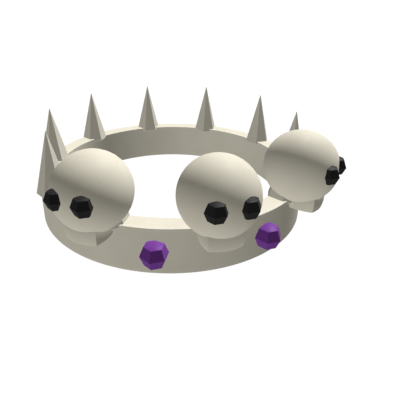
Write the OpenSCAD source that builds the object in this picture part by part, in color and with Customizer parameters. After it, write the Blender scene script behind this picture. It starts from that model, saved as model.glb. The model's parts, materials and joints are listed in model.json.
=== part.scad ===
// Skull crown: a bone-coloured ring with pointed spikes on its rim, three small skulls
// at the front, faceted black stones for their eyes and two purple stones between them.
// Millimetres, +Z up. The origin is the middle of the band's lower rim and the middle
// skull faces -Y. Left and right are as seen from the front.

/* [Band] */
// Inside diameter of the band, where the head goes
band_inner_d = 184; // [176:1:200]
// Thickness of the band's wall
band_wall = 13.6; // [12:0.2:16]
// Height of the band
band_h = 31.6; // [28:0.2:36]
// How far the wall steps back at the top, behind the lips of the spikes
lip_step = 0.6; // [0.6:0.1:1.5]

/* [Spikes] */
// Number of equal stations round the rim, the three under the skulls counted
station_count = 10; // [8:1:12]
// How far a spike's axis stands outside the middle of the wall
spike_off = 0.4; // [0:0.1:1]
// Corner radius of a spike's six-sided base
spike_base_r = 11.5; // [11:0.1:13]
// Height of a spike, were it brought to a perfect point
spike_h = 46; // [40:0.1:60]
// How far a spike's base hangs below the rim, as a lip on both sides of the wall
spike_lip = 2; // [1:0.2:4]
// Radius of a spike's blunted tip
spike_tip_r = 0.2; // [0.2:0.1:1]

/* [Skulls] */
// Radius of a skull's round cranium
skull_r = 24.4; // [23:0.1:26]
// How far the middle of a cranium stands outside the band's outer wall
skull_out = 0.9; // [0:0.1:3]
// How high the middle of a cranium is above the rim
skull_up = 20.8; // [20:0.2:22]
// Angle from one skull to the next
skull_step = 40; // [38:0.5:42]
// How far the post inside a skull goes on above the middle of the cranium
post_up = 9.6; // [4:0.2:12]

/* [Jaws] */
// How far a jaw hangs below the rim
jaw_drop = 5.7; // [4:0.1:8]
// Height above its underside at which a jaw is fullest
jaw_full_up = 6.8; // [4:0.1:9]
// How far a jaw's front stands out from the middle of the cranium
jaw_out = 17.4; // [16:0.1:20]
// Half of a jaw's width
jaw_half_w = 13.1; // [11:0.1:15]
// How far in front of the middle of the cranium a jaw is widest
jaw_side_out = 5.4; // [3:0.1:8]
// Radius to which a jaw's front and sides are domed
jaw_dome_r = 25.2; // [22:0.1:40]

/* [Eyes] */
// Corner radius of an eye stone
eye_r = 7; // [5:0.1:8]
// How far an eye stone's middle stands in front of the cranium's middle
eye_out = 19.9; // [19:0.1:21]
// Half of the distance between a skull's two eyes
eye_half_gap = 9; // [9:0.1:11]
// How far an eye stone's middle is above the cranium's middle
eye_up = 2; // [0:0.5:6]

/* [Purple stones] */
// Corner radius of a purple stone
stone_r = 9.1; // [7:0.1:10]
// How far the middle of a purple stone stands outside the band's outer wall
stone_out = 2.5; // [1:0.1:4]

/* [Cut of the stones] */
// Corner radius of a stone's small flat table, as a part of the stone's own corner radius
table_part = 0.15; // [0.1:0.05:0.4]

/* [Fit] */
// Gap between pieces that are glued together
glue_gap = 0.2; // [0.15:0.05:0.3]

/* [Hidden] */
bone_colour = [0.80, 0.78, 0.70];
black_colour = [0.09, 0.09, 0.09];
purple_colour = [0.38, 0.20, 0.50];

// How far a cut runs on past the face that it goes through
past = 1;

band_inner_r = band_inner_d / 2;
band_outer_r = band_inner_r + band_wall;

// Stations go round from the front, anticlockwise from above. The last of them, the
// front one and the one after it carry the skulls, and the others carry free spikes.
station_step = 360 / station_count;
free_spikes = station_count - 3;
first_free_station = 2;
spike_ring_r = band_inner_r + band_wall / 2 + spike_off;
spike_base_z = band_h - spike_lip;
spike_slope = spike_base_r / spike_h;

// The step behind the lips starts just below them.
step_z = spike_base_z - lip_step;

skull_ring_r = band_outer_r + skull_out;
skull_z = band_h + skull_up;
post_top_z = skull_z + post_up;

jaw_bottom_z = band_h - jaw_drop;
jaw_full_z = jaw_bottom_z + jaw_full_up;
jaw_front_r = skull_ring_r + jaw_out;
jaw_side_r = skull_ring_r + jaw_side_out;

stone_ring_r = band_outer_r + stone_out;

// The shoulders of a cut stone, where its steep facets end and its shallow ones begin, are
// this part of its corner radius across, and as far above and below its girdle. The steep
// facets lean in by this angle from the upright.
shoulder_part = cos(45);
facet_lean = atan(cos(30) * (1 - shoulder_part) / shoulder_part);

// Faces lie nearer to the middle than the corners do. So the room for a stone or a
// taper that leaves a gap all round has more corner radius, by this much for each
// millimetre of the gap.
stone_grow = 1 / (cos(30) * cos(facet_lean));
taper_grow = sqrt(1 + pow(spike_slope * cos(30), 2)) / cos(30);

SIDES = ["left", "middle", "right"];

$fn = 96;

// Angle of a skull from the front, for -1 on the left, 0 in the middle and 1 on the right
function skull_angle(side) = side * skull_step;

// Corner radius of a spike or post at a height
function taper_r(z) = spike_base_r - spike_slope * (z - spike_base_z);

// Puts a piece at an angle from the front and a distance from the axis, without turning it
module stand_at(angle, ring_r, z = 0) {
    translate([ring_r * sin(angle), -ring_r * cos(angle), z]) children();
}

// The room over the wall's stepped top that the pieces on the rim leave free
module rim_room() {
    difference() {
        cylinder(r = band_outer_r + glue_gap, h = band_h + glue_gap, $fn = 360);
        translate([0, 0, -past])
            cylinder(r = band_inner_r + lip_step - glue_gap, h = band_h + glue_gap + 2 * past, $fn = 360);
    }
}

// A six-sided taper from the lips up to a height, or with a gap the room for one
module taper_to(top_z, gap = 0) {
    low_z = spike_base_z - gap;
    high_z = top_z + gap;
    translate([0, 0, low_z]) cylinder(
        r1 = taper_r(low_z) + taper_grow * gap,
        r2 = taper_r(high_z) + taper_grow * gap,
        h = high_z - low_z,
        $fn = 6
    );
}

// A cut stone about its own middle, the same above and below its girdle: six steep facets up
// to a shoulder, then six shallow ones up to a small flat table
module cut_stone(corner_r) {
    shoulder_r = corner_r * shoulder_part;
    table_r = corner_r * table_part;
    table_z = corner_r - (corner_r - shoulder_r) * table_part / shoulder_part;
    rotate_extrude($fn = 6) polygon([
        [0, -table_z], [table_r, -table_z], [shoulder_r, -shoulder_r], [corner_r, 0],
        [shoulder_r, shoulder_r], [table_r, table_z], [0, table_z]
    ]);
}

// The ball of a cranium, or with a gap the room for one, with its poles at its two sides
module skull_ball(side, gap = 0) {
    stand_at(skull_angle(side), skull_ring_r, skull_z)
        rotate([0, -90, skull_angle(side)]) sphere(r = skull_r + gap);
}

// The taper of a skull's post, at its own station, or with a gap the room for it
module post_taper(side, gap = 0) {
    stand_at(side * station_step, spike_ring_r) taper_to(post_top_z, gap);
}

// One of a skull's two eye stones, or with a gap the room for it
module eye_cut(side, eye, gap = 0) {
    rotate([0, 0, skull_angle(side)])
        translate([eye * eye_half_gap, -skull_ring_r - eye_out, skull_z + eye_up])
        rotate([0, 0, -skull_angle(side)]) cut_stone(eye_r + stone_grow * gap);
}

// A purple stone, half way between two skulls, or with a gap the room for it
module stone_cut(side, gap = 0) {
    stand_at(skull_angle(side) / 2, stone_ring_r, band_h / 2) cut_stone(stone_r + stone_grow * gap);
}

// The ring itself, with its stepped rim inside and a pocket for each purple stone
module band() {
    color(bone_colour)
    difference() {
        cylinder(r = band_outer_r, h = band_h, $fn = 360);
        translate([0, 0, -past]) cylinder(r = band_inner_r, h = band_h + 2 * past, $fn = 360);
        translate([0, 0, step_z]) cylinder(r = band_inner_r + lip_step, h = band_h, $fn = 360);
        for (side = [-1, 1]) stone_cut(side, glue_gap);
    }
}

// A free spike, slotted over the rim
module spike(k) {
    blunt_z = spike_base_z + spike_h - spike_tip_r / spike_slope;
    color(bone_colour)
    difference() {
        stand_at((k - 1 + first_free_station) * station_step, spike_ring_r) taper_to(blunt_z);
        rim_room();
    }
}

// The post that holds a skull, slotted over the rim like a spike and cut off inside
module post(side) {
    color(bone_colour)
    difference() {
        post_taper(side);
        rim_room();
    }
}

// The round part of a skull, with its seat on the rim, its post hole and its eye pockets
module cranium(side) {
    color(bone_colour)
    difference() {
        skull_ball(side);
        rim_room();
        post_taper(side, glue_gap);
        for (eye = [-1, 1]) eye_cut(side, eye, glue_gap);
    }
}

// The block under a cranium, with a domed front and sides and sharp upright corners. It
// stands wholly outside the band's wall.
module jaw(side) {
    color(bone_colour)
    difference() {
        rotate([0, 0, skull_angle(side)])
        intersection() {
            translate([-jaw_half_w, -jaw_front_r, jaw_bottom_z])
                cube([2 * jaw_half_w, jaw_front_r - band_inner_r, skull_z - jaw_bottom_z]);
            translate([0, jaw_dome_r - jaw_front_r, jaw_full_z]) sphere(r = jaw_dome_r);
            translate([jaw_dome_r - jaw_half_w, -jaw_side_r, jaw_full_z]) sphere(r = jaw_dome_r);
            translate([jaw_half_w - jaw_dome_r, -jaw_side_r, jaw_full_z])
                rotate([0, 0, 180]) sphere(r = jaw_dome_r);
        }
        skull_ball(side, glue_gap);
        cylinder(r = band_outer_r + glue_gap, h = skull_z + past, $fn = 360);
        post_taper(side, glue_gap);
    }
}

// A black eye stone
module eye_stone(side, eye) {
    color(black_colour) eye_cut(side, eye);
}

// A purple stone
module purple_stone(side) {
    color(purple_colour) stone_cut(side);
}

band();
for (k = [1:free_spikes]) {
    spike(k);
}
for (i = [0:2]) {
    post(i - 1);
    cranium(i - 1);
    jaw(i - 1);
    eye_stone(i - 1, -1);
    eye_stone(i - 1, 1);
}
purple_stone(-1);  // stone_left
purple_stone(1);  // stone_right
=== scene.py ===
import bmesh
import bpy
import json
import math
from mathutils import Matrix, Vector


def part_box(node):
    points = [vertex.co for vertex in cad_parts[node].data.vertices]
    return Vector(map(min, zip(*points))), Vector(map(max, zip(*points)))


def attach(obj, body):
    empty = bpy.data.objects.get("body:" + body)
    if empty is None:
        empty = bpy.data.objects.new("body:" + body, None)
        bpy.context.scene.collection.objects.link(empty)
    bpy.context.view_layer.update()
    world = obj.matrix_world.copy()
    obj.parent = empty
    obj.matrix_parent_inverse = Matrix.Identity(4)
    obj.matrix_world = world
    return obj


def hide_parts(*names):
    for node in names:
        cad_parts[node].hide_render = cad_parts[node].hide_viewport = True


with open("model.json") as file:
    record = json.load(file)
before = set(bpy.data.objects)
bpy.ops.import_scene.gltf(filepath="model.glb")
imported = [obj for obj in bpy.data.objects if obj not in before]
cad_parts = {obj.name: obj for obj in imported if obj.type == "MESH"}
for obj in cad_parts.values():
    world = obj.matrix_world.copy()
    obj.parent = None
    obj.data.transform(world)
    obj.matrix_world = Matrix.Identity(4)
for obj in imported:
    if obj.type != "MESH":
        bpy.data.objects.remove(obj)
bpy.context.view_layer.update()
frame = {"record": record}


# The camera
# It stands in front of the crown, a little to the left, and looks down on it. The crown lies
# above and to the left of the middle of the picture, which is what the lens shift is for.
mm = 0.001
camera_turn = math.radians(-15.2)
camera_dip = math.radians(21.7)
camera_stand = Vector((3.75, -288.93, 150.92)) * mm
camera_data = bpy.data.cameras.new("camera")
camera_data.sensor_width = 36
camera_data.lens = 31.76
camera_data.shift_x = 0.0812
camera_data.shift_y = -0.1308
camera_data.clip_start = 0.02
camera = bpy.data.objects.new("camera", camera_data)
camera.location = Matrix.Rotation(camera_turn, 3, "Z") @ camera_stand
camera.rotation_euler = (math.pi / 2 - camera_dip, 0, camera_turn)
bpy.context.scene.collection.objects.link(camera)
bpy.context.scene.camera = camera


# The white table and the lamps
# The crown stands on a sheet of white opal acrylic, lit from inside so that it stays white. Two
# lamps shine down from behind on the right, a broad one and a stronger one that casts no shadow,
# and a weaker one shines up through the table from the opposite side.
table_drop = 0.05 * mm
table_radius = 30
table_mesh = bpy.data.meshes.new("white_table")
table_maker = bmesh.new()
bmesh.ops.create_circle(table_maker, cap_ends=True, segments=96, radius=table_radius)
bmesh.ops.translate(table_maker, verts=table_maker.verts, vec=(0, 0, -table_drop))
table_maker.to_mesh(table_mesh)
table_maker.free()
table = bpy.data.objects.new("white_table", table_mesh)
bpy.context.scene.collection.objects.link(table)

acrylic = bpy.data.materials.new("opal_acrylic")
acrylic.use_nodes = True
acrylic_shader = acrylic.node_tree.nodes["Principled BSDF"]
acrylic_shader.inputs["Base Color"].default_value = (0.30, 0.30, 0.30, 1)
acrylic_shader.inputs["Roughness"].default_value = 0.9
acrylic_shader.inputs["Specular IOR Level"].default_value = 0
acrylic_shader.inputs["Emission Color"].default_value = (1, 1, 1, 1)
acrylic_shader.inputs["Emission Strength"].default_value = 0.70
table_mesh.materials.append(acrylic)
table.visible_diffuse = False
table.visible_glossy = False
table.visible_shadow = False

light_from = Vector((0.483, 0.324, 0.813))


def hang_lamp(name, shines_from, strength, spread, casts_shadow=False):
    lamp_data = bpy.data.lights.new(name, "SUN")
    lamp_data.energy = strength
    lamp_data.angle = math.radians(spread)
    lamp_data.use_shadow = casts_shadow
    lamp = bpy.data.objects.new(name, lamp_data)
    lamp.rotation_euler = (-shines_from).to_track_quat("-Z", "Y").to_euler()
    bpy.context.scene.collection.objects.link(lamp)
    return lamp


hang_lamp("lamp_above", light_from, strength=0.3, spread=28, casts_shadow=True)
hang_lamp("lamp_above_filling", light_from, strength=3.38, spread=6)
lamp_below = hang_lamp("lamp_below", -light_from, strength=1.35, spread=12)
lamp_below.visible_glossy = False

room = bpy.data.worlds.new("white_room")
room.use_nodes = True
room_nodes = room.node_tree.nodes
room_light = room_nodes["Background"]
room_light.inputs["Color"].default_value = (1, 1, 1, 1)
room_light.inputs["Strength"].default_value = 0.2125
wall_white = room_nodes.new("ShaderNodeBackground")
wall_white.inputs["Color"].default_value = (1, 1, 1, 1)
wall_white.inputs["Strength"].default_value = 1.05
seen_directly = room_nodes.new("ShaderNodeLightPath")
room_mix = room_nodes.new("ShaderNodeMixShader")
room_links = room.node_tree.links
room_links.new(seen_directly.outputs["Is Camera Ray"], room_mix.inputs[0])
room_links.new(room_light.outputs[0], room_mix.inputs[1])
room_links.new(wall_white.outputs[0], room_mix.inputs[2])
room_links.new(room_mix.outputs[0], room_nodes["World Output"].inputs["Surface"])
bpy.context.scene.world = room
bpy.context.scene.view_settings.view_transform = "Standard"


# The band
# A thick plain ring, cast in bone-coloured resin and rubbed down with fine paper. Inside it
# widens a little towards the rim, where the lips of the spikes come down over it, and its front
# wall has a six-sided pocket for each of the two purple stones.
band_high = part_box("band")[1]
opening = next(m for m in frame["record"]["mounts"] if m["name"] == "head_opening")
head_radius = opening["dims"]["r_mm"] * mm
band_radius = band_high.x
rim_height = band_high.z
rim_widening = 0.6 * mm
band_edge = 0.35 * mm
band_rub_width = 1.4 * mm
turning_steps = 288


def rounded_outline(corners, support, longest=3 * mm):
    """A closed outline through corners (x, y, rounding), with points beside each rounding."""
    arc_steps = 4
    points = []
    for i, (x, y, rounding) in enumerate(corners):
        here = Vector((x, y))
        before = (Vector(corners[i - 1][:2]) - here).normalized()
        after_x, after_y, _ = corners[(i + 1) % len(corners)]
        after = (Vector((after_x, after_y)) - here).normalized()
        half = before.angle(after) / 2
        reach = rounding / math.tan(half)
        middle = here + (before + after).normalized() * (rounding / math.sin(half))
        arc_start = here + before * reach - middle
        arc_end = here + after * reach - middle
        points.append(here + before * (reach + support))
        for step in range(arc_steps + 1):
            points.append(middle + arc_start.slerp(arc_end, step / arc_steps) * rounding)
        points.append(here + after * (reach + support))
    filled = []
    for i, point in enumerate(points):
        following = points[(i + 1) % len(points)]
        pieces = max(1, math.ceil((following - point).length / longest))
        for step in range(pieces):
            filled.append(point.lerp(following, step / pieces))
    return filled


def turned_ring(name, outline, steps):
    """A ring with this outline, as (distance from the axis, height), turned about the axis."""
    maker = bmesh.new()
    rows = []
    for step in range(steps):
        turn = 2 * math.pi * step / steps
        places = [(p.x * math.cos(turn), p.x * math.sin(turn), p.y) for p in outline]
        rows.append([maker.verts.new(place) for place in places])
    for step, row in enumerate(rows):
        next_row = rows[(step + 1) % steps]
        for i in range(len(outline)):
            j = (i + 1) % len(outline)
            maker.faces.new((row[i], next_row[i], next_row[j], row[j]))
    return finish_casting(name, maker)


def finish_casting(name, maker):
    """Makes a piece of the mesh, which throws no light on its neighbours."""
    bmesh.ops.recalc_face_normals(maker, faces=maker.faces)
    mesh = bpy.data.meshes.new(name)
    maker.to_mesh(mesh)
    maker.free()
    casting = bpy.data.objects.new(name, mesh)
    casting.visible_diffuse = False
    bpy.context.scene.collection.objects.link(casting)
    return casting


def cut_away(casting, cutter):
    """Takes the cutter's room out of the casting, and merges points that then fall together."""
    merge_within = 0.003 * mm
    cut = casting.modifiers.new("cut", "BOOLEAN")
    cut.operation = "DIFFERENCE"
    cut.solver = "EXACT"
    cut.object = cutter
    bpy.context.view_layer.update()
    result = casting.evaluated_get(bpy.context.evaluated_depsgraph_get())
    mesh = bpy.data.meshes.new_from_object(result)
    cleaner = bmesh.new()
    cleaner.from_mesh(mesh)
    bmesh.ops.remove_doubles(cleaner, verts=cleaner.verts, dist=merge_within)
    cleaner.to_mesh(mesh)
    cleaner.free()
    casting.modifiers.clear()
    casting.data = mesh
    bpy.data.objects.remove(cutter)


gem_radius = 9.1 * mm
gem_out = 2.5 * mm
gem_ring = band_radius + gem_out
gem_places = {"left": -20, "right": 20}
pocket_growth = 0.05 * mm
shoulder_part = math.cos(math.radians(45))
table_part = 0.15


def stone_levels(corner_radius):
    """A stone's table, shoulder, girdle, shoulder and table, each as (corner radius, height)."""
    table_height = 1 - table_part * (1 - shoulder_part) / shoulder_part
    upper_half = ((shoulder_part, shoulder_part), (table_part, table_height))
    lower_half = [(size, -height) for size, height in reversed(upper_half)]
    shares = (*lower_half, (1, 0), *upper_half)
    return [(size * corner_radius, height * corner_radius) for size, height in shares]


def closed_skin(name, maker, rows):
    """Makes a piece of rows of points that lie one above the other, closed at both ends."""
    for lower, upper in zip(rows, rows[1:]):
        for i in range(len(lower)):
            j = (i + 1) % len(lower)
            maker.faces.new((lower[i], lower[j], upper[j], upper[i]))
    maker.faces.new(reversed(rows[0]))
    maker.faces.new(rows[-1])
    return finish_casting(name, maker)


def stone_pocket(middle, corner_radius):
    """The room for a six-sided stone, of the stone's own form."""
    maker = bmesh.new()
    rows = []
    for size, height in stone_levels(corner_radius):
        turns = [math.radians(60 * corner) for corner in range(6)]
        places = [Vector((math.cos(turn) * size, math.sin(turn) * size, height)) for turn in turns]
        rows.append([maker.verts.new(middle + place) for place in places])
    return closed_skin("pocket", maker, rows)


def round_the_axis(degrees, distance, height):
    """A point at this angle from the front, anticlockwise seen from above."""
    turn = math.radians(degrees)
    return Vector((distance * math.sin(turn), -distance * math.cos(turn), height))


def smooth_with_crisp_edges(casting, crisp_from=30):
    for face in casting.data.polygons:
        face.use_smooth = True
    casting.data.set_sharp_from_angle(angle=math.radians(crisp_from))


def mark_edges(casting, how_near):
    """Keeps on each point how near it is to an edge that hands rub, from 0 to 1."""
    mark = casting.data.attributes.new("rubbed", "FLOAT", "POINT")
    for i, vertex in enumerate(casting.data.vertices):
        mark.data[i].value = max(0.0, min(1.0, how_near(vertex.co)))


def bone_resin(name, shift, tone=1.0):
    """Cast resin the colour of bone, with faint clouds, fine grain, pores and paler rubbed edges."""
    cloud_deep = (0.775, 0.729, 0.594)
    cloud_pale = (0.825, 0.782, 0.647)
    pore_colour = (0.50, 0.46, 0.36)
    rubbed_colour = (0.88, 0.845, 0.73)
    material = bpy.data.materials.new(name)
    material.use_nodes = True
    nodes = material.node_tree.nodes
    link = material.node_tree.links.new
    shader = nodes["Principled BSDF"]
    shader.inputs["Specular IOR Level"].default_value = 0.12

    place = nodes.new("ShaderNodeTexCoord")
    moved = nodes.new("ShaderNodeVectorMath")
    moved.operation = "ADD"
    moved.inputs[1].default_value = (shift, shift * 0.7, shift * 0.4)
    link(place.outputs["Object"], moved.inputs[0])

    clouds = nodes.new("ShaderNodeTexNoise")
    clouds.inputs["Scale"].default_value = 42
    clouds.inputs["Detail"].default_value = 3
    link(moved.outputs[0], clouds.inputs["Vector"])
    cloud_colour = nodes.new("ShaderNodeValToRGB")
    cloud_colour.color_ramp.elements[0].position = 0.3
    cloud_colour.color_ramp.elements[0].color = (*(part * tone for part in cloud_deep), 1)
    cloud_colour.color_ramp.elements[1].position = 0.7
    cloud_colour.color_ramp.elements[1].color = (*(part * tone for part in cloud_pale), 1)
    link(clouds.outputs["Fac"], cloud_colour.inputs["Fac"])

    grain = nodes.new("ShaderNodeTexNoise")
    grain.inputs["Scale"].default_value = 1400
    grain.inputs["Detail"].default_value = 2
    link(moved.outputs[0], grain.inputs["Vector"])

    pores = nodes.new("ShaderNodeTexVoronoi")
    pores.inputs["Scale"].default_value = 230
    link(moved.outputs[0], pores.inputs["Vector"])
    pore_size = nodes.new("ShaderNodeMapRange")
    pore_size.inputs["From Min"].default_value = 0.05
    pore_size.inputs["From Max"].default_value = 0.09
    pore_size.inputs["To Min"].default_value = 1
    pore_size.inputs["To Max"].default_value = 0
    link(pores.outputs["Distance"], pore_size.inputs["Value"])
    pore_chance = nodes.new("ShaderNodeSeparateColor")
    link(pores.outputs["Color"], pore_chance.inputs["Color"])
    pore_here = nodes.new("ShaderNodeMath")
    pore_here.operation = "GREATER_THAN"
    pore_here.inputs[1].default_value = 0.72
    link(pore_chance.outputs[0], pore_here.inputs[0])
    pore = nodes.new("ShaderNodeMath")
    pore.operation = "MULTIPLY"
    link(pore_size.outputs[0], pore.inputs[0])
    link(pore_here.outputs[0], pore.inputs[1])

    pitted = nodes.new("ShaderNodeMixRGB")
    pitted.inputs["Color2"].default_value = (*pore_colour, 1)
    pore_tint = nodes.new("ShaderNodeMath")
    pore_tint.operation = "MULTIPLY"
    pore_tint.inputs[1].default_value = 0.45
    link(pore.outputs[0], pore_tint.inputs[0])
    link(pore_tint.outputs[0], pitted.inputs["Fac"])
    link(cloud_colour.outputs["Color"], pitted.inputs["Color1"])

    rubbed = nodes.new("ShaderNodeAttribute")
    rubbed.attribute_name = "rubbed"
    rub_patches = nodes.new("ShaderNodeTexNoise")
    rub_patches.inputs["Scale"].default_value = 160
    link(moved.outputs[0], rub_patches.inputs["Vector"])
    rub = nodes.new("ShaderNodeMath")
    rub.operation = "MULTIPLY"
    link(rubbed.outputs["Fac"], rub.inputs[0])
    link(rub_patches.outputs["Fac"], rub.inputs[1])
    worn = nodes.new("ShaderNodeMixRGB")
    worn.inputs["Color2"].default_value = (*rubbed_colour, 1)
    link(rub.outputs[0], worn.inputs["Fac"])
    link(pitted.outputs["Color"], worn.inputs["Color1"])
    link(worn.outputs["Color"], shader.inputs["Base Color"])

    dullness = nodes.new("ShaderNodeMapRange")
    dullness.inputs["From Min"].default_value = 0.3
    dullness.inputs["From Max"].default_value = 0.7
    dullness.inputs["To Min"].default_value = 0.50
    dullness.inputs["To Max"].default_value = 0.64
    link(rub_patches.outputs["Fac"], dullness.inputs["Value"])
    link(dullness.outputs[0], shader.inputs["Roughness"])

    height = nodes.new("ShaderNodeMath")
    height.operation = "SUBTRACT"
    link(grain.outputs["Fac"], height.inputs[0])
    link(pore.outputs[0], height.inputs[1])
    relief = nodes.new("ShaderNodeBump")
    relief.inputs["Strength"].default_value = 0.35
    relief.inputs["Distance"].default_value = 0.08 * mm
    link(height.outputs[0], relief.inputs["Height"])
    link(relief.outputs["Normal"], shader.inputs["Normal"])
    return material


band_outline = rounded_outline((
    (head_radius, 0, band_edge),
    (band_radius, 0, band_edge),
    (band_radius, rim_height, band_edge),
    (head_radius + rim_widening, rim_height, band_edge),
), support=0.2 * mm)
ring = turned_ring("ring_band", band_outline, turning_steps)
for degrees in gem_places.values():
    gem_middle = round_the_axis(degrees, gem_ring, rim_height / 2)
    cut_away(ring, stone_pocket(gem_middle, gem_radius + pocket_growth))


def near_band_edge(point):
    across = math.hypot(point.x, point.y)
    from_walls = min(abs(across - band_radius), abs(across - head_radius))
    from_rims = min(point.z, rim_height - point.z)
    return 1 - max(from_walls, from_rims) / band_rub_width


smooth_with_crisp_edges(ring)
mark_edges(ring, near_band_edge)
ring.data.materials.append(bone_resin("bone_resin_band", 0.0))
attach(ring, "root")
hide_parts("band")


# The free spikes
# Seven solid six-sided spikes of the same resin, cast one by one and glued over the rim. Each
# hangs 2 mm below the rim as a lip on both sides of the wall, and its tip is blunted.
station_angle = 36
spike_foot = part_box("spike_1")[0].z
spike_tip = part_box("spike_1")[1].z
spike_out = 0.4 * mm
spike_ring = (head_radius + band_radius) / 2 + spike_out
spike_corner = 11.5 * mm
spike_full_height = 46 * mm
spike_round = 0.45 * mm
spike_tip_round = 0.12 * mm
spike_rub_width = 0.8 * mm
spike_tone_spread = 0.012
glue_gap = 0.2 * mm
flat_part = math.cos(math.radians(30))


def six_sided_row(corner_radius, inset, rounding, roundest=0.5):
    """Points round a six-sided section with rounded corners, drawn in by the inset."""
    flat_distance = corner_radius * flat_part - inset
    rounding = min(rounding, flat_distance * roundest)
    corner_distance = (flat_distance - rounding) / flat_part
    arcs = []
    for corner in range(6):
        middle = Vector((math.cos(math.radians(60 * corner)), math.sin(math.radians(60 * corner))))
        arc = []
        for step in range(-2, 3):
            turn = math.radians(60 * corner + 15 * step)
            arc.append(middle * corner_distance + Vector((math.cos(turn), math.sin(turn))) * rounding)
        arcs.append(arc)
    points = []
    for i, arc in enumerate(arcs):
        following = arcs[(i + 1) % 6][0]
        points.extend(arc)
        for share in (0.08, 0.5, 0.92):
            points.append(arc[-1].lerp(following, share))
    return points


def six_sided_taper(name, x, y, levels, rounding):
    """A taper through levels of (height, corner radius, inset), closed at both ends."""
    maker = bmesh.new()
    rows = []
    for height, corner_radius, inset in levels:
        points = six_sided_row(corner_radius, inset, rounding)
        rows.append([maker.verts.new((x + p.x, y + p.y, height)) for p in points])
    return closed_skin(name, maker, rows)


def spike_width(height):
    return spike_corner * (1 - (height - spike_foot) / spike_full_height)


def spike_levels(top, end_rounding):
    """The rounded foot, the straight sides and the end of a spike or post."""
    foot_round = 0.4 * mm
    foot_rim = 0.5 * mm
    side_steps = 18
    levels = [(spike_foot, spike_corner, foot_round + foot_rim)]
    for step in range(5):
        turn = math.radians(22.5 * step)
        height = spike_foot + foot_round * (1 - math.cos(turn))
        levels.append((height, spike_width(height), foot_round * (1 - math.sin(turn))))
    side_start = spike_foot + 2 * foot_round
    side_end = top - end_rounding * 1.4
    for step in range(side_steps + 1):
        height = side_start + (side_end - side_start) * step / side_steps
        levels.append((height, spike_width(height), 0))
    for step in range(4):
        turn = math.radians(30 * step)
        height = top - end_rounding * (1 - math.sin(turn))
        levels.append((height, spike_width(height), end_rounding * (1 - math.cos(turn))))
    return levels


def rim_room():
    """The room over the band's stepped rim that whatever sits on it leaves free, for the glue."""
    inner = head_radius + rim_widening - glue_gap
    outer = band_radius + glue_gap
    top = rim_height + glue_gap
    low = -mm
    corners = ((inner, low), (outer, low), (outer, top), (inner, top))
    return turned_ring("rim_room", [Vector(corner) for corner in corners], turning_steps)


def near_spike_edge(x, y, top):
    """How near a point of the spike at x, y is to one of its corners, its foot or its tip."""
    on_axis = 0.01 * mm
    tip_share = 0.4

    def how_near(point):
        across = Vector((point.x - x, point.y - y))
        if across.length < on_axis:
            return 1
        turn = math.degrees(math.atan2(across.y, across.x)) % 60
        from_corner = across.length * math.sin(math.radians(min(turn, 60 - turn)))
        from_foot = point.z - spike_foot
        from_tip = (top - point.z) * tip_share
        return 1 - min(from_corner, from_foot, from_tip) / spike_rub_width

    return how_near


for number in range(1, 8):
    stand = round_the_axis(station_angle * (number + 1), spike_ring, 0)
    levels = spike_levels(spike_tip, spike_tip_round)
    spike = six_sided_taper(f"rim_spike_{number}", stand.x, stand.y, levels, spike_round)
    cut_away(spike, rim_room())
    smooth_with_crisp_edges(spike)
    mark_edges(spike, near_spike_edge(stand.x, stand.y, spike_tip))
    tone = 1 + spike_tone_spread * math.sin(number * 2.3)
    spike.data.materials.append(bone_resin(f"bone_resin_spike_{number}", 0.31 * number, tone))
    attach(spike, "root")
    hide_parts(f"spike_{number}")


# The skull posts
# Under each skull stands a post, cast in the same mould as the spikes and sawn off inside the
# skull. It is slotted over the rim like a spike, and only its lips and the corners of its foot
# show from outside.
post_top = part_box("post_middle")[1].z
post_top_round = 0.3 * mm
post_stations = {"left": -1, "middle": 0, "right": 1}
for side, station in post_stations.items():
    stand = round_the_axis(station_angle * station, spike_ring, 0)
    levels = spike_levels(post_top, post_top_round)
    post = six_sided_taper(f"skull_post_{side}", stand.x, stand.y, levels, spike_round)
    cut_away(post, rim_room())
    smooth_with_crisp_edges(post)
    mark_edges(post, near_spike_edge(stand.x, stand.y, post_top))
    post.data.materials.append(bone_resin(f"bone_resin_post_{side}", 0.37 * station + 5.1))
    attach(post, "root")
    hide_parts(f"post_{side}")


# The craniums
# Three smooth round balls of the same resin, set on the rim and glued over their posts. Each is
# cut away where it sits on the rim and bored for the post. In front it has two shallow flats,
# one for each eye, with the eye's pocket in it, and these are rubbed until they shine like the ball.
skull_angles = {"left": -40, "middle": 0, "right": 40}
skull_radius = 24.4 * mm
skull_out = 0.9 * mm
skull_ring = band_radius + skull_out
skull_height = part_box("cranium_middle")[1].z - skull_radius
eye_radius = 7 * mm
eye_out = 19.9 * mm
eye_side = 9 * mm
eye_up = 2 * mm
eye_height = skull_height + eye_up
flat_depth = 1.2 * mm
flat_turn = 14
flat_rise = 5


def eye_middle(degrees, side):
    """The middle of an eye stone, for side -1 on the left and 1 on the right of its skull."""
    turn = Matrix.Rotation(math.radians(degrees), 3, "Z")
    return turn @ Vector((side * eye_side, -skull_ring - eye_out, eye_height))


def post_room(station):
    """The bore for a post, wider than the post by the glue gap."""
    bore_round = 0.1 * mm
    stand = round_the_axis(station_angle * station, spike_ring, 0)
    slope = spike_corner / spike_full_height
    growth = glue_gap * math.hypot(1, slope * flat_part) / flat_part
    low = spike_foot - glue_gap
    high = post_top + glue_gap
    levels = [(low, spike_width(low) + growth, 0), (high, spike_width(high) + growth, 0)]
    return six_sided_taper("post_room", stand.x, stand.y, levels, bore_round)


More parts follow.
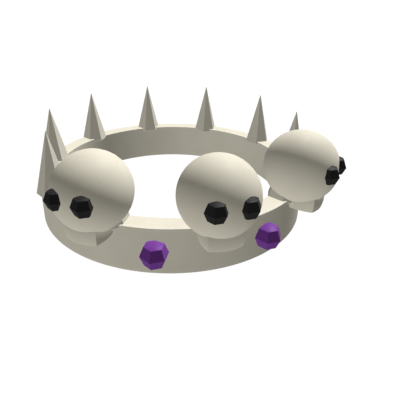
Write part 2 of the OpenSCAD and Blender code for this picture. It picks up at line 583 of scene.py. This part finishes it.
def flat_room(middle, degrees):
    """A thick disc whose end leaves a flat on a ball, at this angle from the front."""
    disc_radius = skull_radius / 2
    thickness = 6 * mm
    rise = math.radians(flat_rise)
    way = round_the_axis(degrees, math.cos(rise), math.sin(rise))
    place = Matrix.Translation(middle + way * (skull_radius - flat_depth + thickness / 2))
    turn = way.to_track_quat("Z", "Y").to_matrix().to_4x4()
    maker = bmesh.new()
    bmesh.ops.create_cone(
        maker, cap_ends=True, segments=64, radius1=disc_radius, radius2=disc_radius,
        depth=thickness, matrix=place @ turn)
    return finish_casting("flat_room", maker)


def shine_as_ball(cranium, middle):
    """Lets the flats shine like the ball around them, and leaves the insides as they are."""
    mesh = cranium.data
    outside_from = skull_radius - 2 * flat_depth
    facing_out = 0.9
    shines = [corner.vector.copy() for corner in mesh.corner_normals]
    for face in mesh.polygons:
        out = face.center - middle
        if out.length < outside_from or face.normal.dot(out.normalized()) < facing_out:
            continue
        for corner in face.loop_indices:
            point = mesh.vertices[mesh.loops[corner].vertex_index].co
            shines[corner] = (point - middle).normalized()
    mesh.normals_split_custom_set(shines)


for side, degrees in skull_angles.items():
    middle = round_the_axis(degrees, skull_ring, skull_height)
    maker = bmesh.new()
    place = Matrix.Translation(middle)
    bmesh.ops.create_icosphere(maker, subdivisions=6, radius=skull_radius, matrix=place)
    cranium = finish_casting(f"skull_ball_{side}", maker)
    cut_away(cranium, rim_room())
    cut_away(cranium, post_room(post_stations[side]))
    for eye in (-1, 1):
        cut_away(cranium, flat_room(middle, degrees + eye * flat_turn))
        cut_away(cranium, stone_pocket(eye_middle(degrees, eye), eye_radius + pocket_growth))
    smooth_with_crisp_edges(cranium)
    shine_as_ball(cranium, middle)
    cranium.data.materials.append(bone_resin(f"bone_resin_skull_{side}", 0.53 * post_stations[side] + 2.2))
    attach(cranium, "root")
    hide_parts(f"cranium_{side}")


# The jaws
# Under each cranium hangs a short block of the same resin, in front of the band's wall. Its
# front and its two sides are domed and meet in upright corners, its underside is flat, and its
# top is hollowed to the cranium that it is glued to.
jaw_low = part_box("jaw_middle")[0].z
jaw_fullest = jaw_low + 6.8 * mm
jaw_front = 17.4 * mm
jaw_half_width = 13.1 * mm
jaw_widest = 5.4 * mm
jaw_dome = 25.2 * mm
jaw_soft = 0.1 * mm
jaw_rub_width = 0.8 * mm
jaw_evenness = 0.6
glue_line = 0.03 * mm


# The front and the sides are domed alike, so each upright corner leans in a plane. Both planes
# meet the middle line in the jaw's heart, and from there a corner lies at one angle all the way.
jaw_front_middle = Vector((jaw_front - jaw_dome, 0))
jaw_side_middle = Vector((jaw_widest, jaw_half_width - jaw_dome))
jaw_between = (jaw_front_middle + jaw_side_middle) / 2
jaw_corner_way = Vector((
    jaw_front_middle.y - jaw_side_middle.y,
    jaw_side_middle.x - jaw_front_middle.x,
)).normalized()
jaw_heart = jaw_between.x - jaw_corner_way.x * jaw_between.y / jaw_corner_way.y
jaw_corner_turn = math.degrees(math.atan2(jaw_corner_way.y, jaw_corner_way.x))


def jaw_column_turns():
    """Where the jaw's columns of points stand, in degrees: evenly, and closer at its corners."""
    column_step = 2.5
    beside_corner = (-1.7, -0.8, -0.35, -0.12, 0.12, 0.35, 0.8, 1.7)
    close = [way * (jaw_corner_turn + beside) for way in (-1, 1) for beside in beside_corner]
    evenly = [column_step * step - 180 for step in range(round(360 / column_step))]
    apart = [turn for turn in evenly if abs(abs(turn) - jaw_corner_turn) > column_step]
    return sorted(close + apart)


def way_out(start, direction, middle, radius):
    """How far a line from a point inside a circle runs before it leaves the circle."""
    offset = start - middle
    along = offset.dot(direction)
    return -along + math.sqrt(along * along - offset.dot(offset) + radius * radius)


def way_to_wall(start, direction, middle, radius):
    """How far a line from a point outside a circle runs before it meets the circle, if it does."""
    offset = start - middle
    along = offset.dot(direction)
    inside = along * along - offset.dot(offset) + radius * radius
    if along >= 0 or inside <= 0:
        return 1
    return -along - math.sqrt(inside)


def jaw_reach(turn, height):
    """How far the jaw reaches from its heart at a height, its corners rounded a little."""
    start = Vector((jaw_heart, 0))
    direction = Vector((math.cos(turn), math.sin(turn)))
    rise = height - jaw_fullest
    radius = math.sqrt(jaw_dome * jaw_dome - rise * rise)
    reaches = (
        way_out(start, direction, jaw_front_middle, radius),
        way_out(start, direction, jaw_side_middle, radius),
        way_out(start, direction, Vector((jaw_side_middle.x, -jaw_side_middle.y)), radius),
        way_to_wall(start, direction, Vector((-skull_ring, 0)), band_radius + glue_gap),
    )
    least = min(reaches)
    total = sum(math.exp((least - reach) / jaw_soft) for reach in reaches)
    return least - jaw_soft * math.log(total)


def jaw_ceiling(out, across):
    """The height of the hollow for the cranium over a point of the jaw, up to the line of glue."""
    room = (skull_radius + glue_line) ** 2 - out * out - across * across
    return skull_height - math.sqrt(max(room, 0))


def jaw_mesh(name, degrees):
    maker = bmesh.new()
    place = Matrix.Rotation(math.radians(degrees), 4, "Z")
    columns = [math.radians(turn) for turn in jaw_column_turns()]
    rows = []

    def add_row(point_at):
        row = []
        for turn in columns:
            reach, height = point_at(turn)
            out = jaw_heart + reach * math.cos(turn)
            across = reach * math.sin(turn)
            if height is None:
                height = jaw_ceiling(out, across)
            row.append(maker.verts.new(place @ Vector((across, -skull_ring - out, height))))
        rows.append(row)

    def top_height(turn):
        height = jaw_fullest
        for _ in range(8):
            reach = jaw_reach(turn, height)
            height = jaw_ceiling(jaw_heart + reach * math.cos(turn), reach * math.sin(turn))
        return height

    foot_round = 0.25 * mm
    brow_round = 0.06 * mm
    for share in (0.15, 0.5, 0.85):
        add_row(lambda turn, share=share: (jaw_reach(turn, jaw_low) * share, jaw_low))
    add_row(lambda turn: (jaw_reach(turn, jaw_low) - foot_round * 1.8, jaw_low))
    for step in range(5):
        bend = math.radians(22.5 * step)
        height = jaw_low + foot_round * (1 - math.cos(bend))
        add_row(lambda turn, bend=bend, height=height: (
            jaw_reach(turn, height) - foot_round * (1 - math.sin(bend)), height))
    side_rows = 12
    side_low = jaw_low + foot_round * 1.6
    brow_depth = brow_round * 1.6
    for step in range(side_rows + 1):
        share = step / side_rows
        add_row(lambda turn, share=share: side_point(turn, side_low, top_height(turn) - brow_depth, share))
    for step in range(5):
        bend = math.radians(22.5 * step)
        add_row(lambda turn, bend=bend: brow_point(turn, top_height(turn), brow_round, bend))
    for share in (0.9, 0.7, 0.45, 0.2):
        add_row(lambda turn, share=share: (jaw_reach(turn, top_height(turn)) * share, None))
    return closed_skin(name, maker, rows)


def side_point(turn, low, high, share):
    height = low + (high - low) * share
    return jaw_reach(turn, height), height


def brow_point(turn, top, rounding, bend):
    height = top - rounding * (1 - math.sin(bend))
    return jaw_reach(turn, height) - rounding * (1 - math.cos(bend)), height


def rub_faces_even(jaw, degrees, evenness):
    """Lets the front and the sides shine as if they were rubbed almost even across."""
    mesh = jaw.data
    back_from = 150
    level_from = 0.9
    to_jaw = Matrix.Rotation(math.radians(-degrees), 3, "Z")
    to_crown = to_jaw.transposed()
    shines = [corner.vector.copy() for corner in mesh.corner_normals]
    for face in mesh.polygons:
        middle = to_jaw @ face.center
        turn = math.degrees(math.atan2(middle.x, -middle.y - skull_ring - jaw_heart))
        if abs(turn) > back_from or abs(face.normal.z) > level_from:
            continue
        facing = 0 if abs(turn) < jaw_corner_turn else math.copysign(90, turn)
        for corner in face.loop_indices:
            shine = to_jaw @ shines[corner]
            way = math.degrees(math.atan2(shine.x, -shine.y))
            evened = math.radians(facing + (way - facing) * (1 - evenness))
            level = math.hypot(shine.x, shine.y)
            evened_way = Vector((level * math.sin(evened), -level * math.cos(evened), shine.z))
            shines[corner] = to_crown @ evened_way
    mesh.normals_split_custom_set(shines)


for side, degrees in skull_angles.items():
    jaw = jaw_mesh(f"skull_jaw_{side}", degrees)
    if side != "middle":
        cut_away(jaw, post_room(post_stations[side]))
    smooth_with_crisp_edges(jaw)
    rub_faces_even(jaw, degrees, jaw_evenness)
    mark_edges(jaw, lambda point: 1 - (point.z - jaw_low) / jaw_rub_width)
    jaw.data.materials.append(bone_resin(f"bone_resin_jaw_{side}", 0.47 * post_stations[side] + 3.6))
    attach(jaw, "root")
    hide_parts(f"jaw_{side}")


# The eyes
# Each skull has two black stones for eyes, glued into their pockets so that about a third of each
# stands out. They are cut alike, opaque and polished, and all stand upright, whichever way their
# skull faces.
eye_edge = 0.18 * mm
eye_deep = (0.019, 0.019, 0.019)
eye_pale = (0.023, 0.023, 0.023)
stone_crisp_from = 50


def cut_and_polished(name, middle, corner_radius, edge):
    """A stone of the pocket's form, with softened edges and the edge of its table polished round."""
    table_rounding = 0.4 * corner_radius
    table_middle = 0.3 * mm
    longest = 0.8 * mm
    roundest = 0.95
    levels = stone_levels(corner_radius)
    half_outline = [(size * flat_part, height, edge) for size, height in levels]
    half_outline[0] = (*half_outline[0][:2], table_rounding)
    half_outline[-1] = (*half_outline[-1][:2], table_rounding)
    mirrored = [(-x, y, rounding) for x, y, rounding in reversed(half_outline)]
    outline = [mirrored[-1], *half_outline, *mirrored[:-1]]
    rounded = rounded_outline(outline, support=1.2 * edge, longest=longest)
    profile = [p for p in rounded if p.x > table_middle]
    maker = bmesh.new()
    rows = []
    for p in profile:
        row = six_sided_row(p.x / flat_part, 0, edge, roundest)
        rows.append([maker.verts.new(middle + Vector((q.x, q.y, p.y))) for q in row])
    return closed_skin(name, maker, rows)


def polish_ends(stone, middle, corner_radius, edge):
    """Gives the six shallow facets of each end one soft polish, which shines as a low dome would."""
    mesh = stone.data
    dome_bend = 0.587
    shoulder = corner_radius * shoulder_part
    shines = [corner.vector.copy() for corner in mesh.corner_normals]
    for face in mesh.polygons:
        if abs(face.center.z - middle.z) < shoulder + 0.2 * edge:
            continue
        for corner in face.loop_indices:
            off = mesh.vertices[mesh.loops[corner].vertex_index].co - middle
            upright = math.copysign(corner_radius, off.z)
            shines[corner] = Vector((off.x * dome_bend, off.y * dome_bend, upright)).normalized()
    mesh.normals_split_custom_set(shines)


def polished_stone(name, deep, pale, shift, roughness, gloss):
    """An opaque polished stone, faintly clouded, with fine wiping scratches in its polish."""
    material = bpy.data.materials.new(name)
    material.use_nodes = True
    nodes = material.node_tree.nodes
    link = material.node_tree.links.new
    shader = nodes["Principled BSDF"]
    shader.inputs["Specular IOR Level"].default_value = gloss
    place = nodes.new("ShaderNodeTexCoord")
    moved = nodes.new("ShaderNodeVectorMath")
    moved.operation = "ADD"
    moved.inputs[1].default_value = (shift, -shift, shift * 0.6)
    link(place.outputs["Object"], moved.inputs[0])
    clouds = nodes.new("ShaderNodeTexNoise")
    clouds.inputs["Scale"].default_value = 260
    clouds.inputs["Detail"].default_value = 4
    clouds.inputs["Distortion"].default_value = 0.8
    link(moved.outputs[0], clouds.inputs["Vector"])
    colour = nodes.new("ShaderNodeValToRGB")
    colour.color_ramp.elements[0].position = 0.35
    colour.color_ramp.elements[0].color = (*deep, 1)
    colour.color_ramp.elements[1].position = 0.68
    colour.color_ramp.elements[1].color = (*pale, 1)
    link(clouds.outputs["Fac"], colour.inputs["Fac"])
    link(colour.outputs["Color"], shader.inputs["Base Color"])
    stretch = nodes.new("ShaderNodeVectorMath")
    stretch.operation = "MULTIPLY"
    stretch.inputs[1].default_value = (900, 6000, 2200)
    link(moved.outputs[0], stretch.inputs[0])
    scratches = nodes.new("ShaderNodeTexNoise")
    scratches.inputs["Scale"].default_value = 1
    scratches.inputs["Detail"].default_value = 2
    link(stretch.outputs[0], scratches.inputs["Vector"])
    polish = nodes.new("ShaderNodeMapRange")
    polish.inputs["From Min"].default_value = 0.35
    polish.inputs["From Max"].default_value = 0.75
    polish.inputs["To Min"].default_value = roughness
    polish.inputs["To Max"].default_value = roughness + 0.12
    link(scratches.outputs["Fac"], polish.inputs["Value"])
    link(polish.outputs[0], shader.inputs["Roughness"])
    relief = nodes.new("ShaderNodeBump")
    relief.inputs["Strength"].default_value = 0.08
    relief.inputs["Distance"].default_value = 0.02 * mm
    link(scratches.outputs["Fac"], relief.inputs["Height"])
    link(relief.outputs["Normal"], shader.inputs["Normal"])
    return material


for side, degrees in skull_angles.items():
    for hand, eye in (("left", -1), ("right", 1)):
        middle = eye_middle(degrees, eye)
        stone = cut_and_polished(f"eye_black_{side}_{hand}", middle, eye_radius, eye_edge)
        smooth_with_crisp_edges(stone, stone_crisp_from)
        polish_ends(stone, middle, eye_radius, eye_edge)
        shift = 0.9 * post_stations[side] + 0.4 * eye
        stone.data.materials.append(polished_stone(
            f"black_polish_{side}_{hand}", eye_deep, eye_pale, shift, roughness=0.54, gloss=0.13))
        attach(stone, "root")
        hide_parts(f"eye_{side}_{hand}")


# The purple stones
# Two larger stones of the same cut, of an opaque deep purple, are glued into the band's front
# wall half way between the skulls. More than half of each stands out from the wall.
gem_edge = 0.2 * mm
gem_deep = (0.194, 0.050, 0.326)
gem_pale = (0.216, 0.058, 0.363)
for side, degrees in gem_places.items():
    gem_middle = round_the_axis(degrees, gem_ring, rim_height / 2)
    gem = cut_and_polished(f"gem_purple_{side}", gem_middle, gem_radius, gem_edge)
    smooth_with_crisp_edges(gem, stone_crisp_from)
    polish_ends(gem, gem_middle, gem_radius, gem_edge)
    gem.data.materials.append(polished_stone(
        f"purple_polish_{side}", gem_deep, gem_pale, 0.02 * degrees, roughness=0.40, gloss=0.07))
    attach(gem, "root")
    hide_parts(f"stone_{side}")
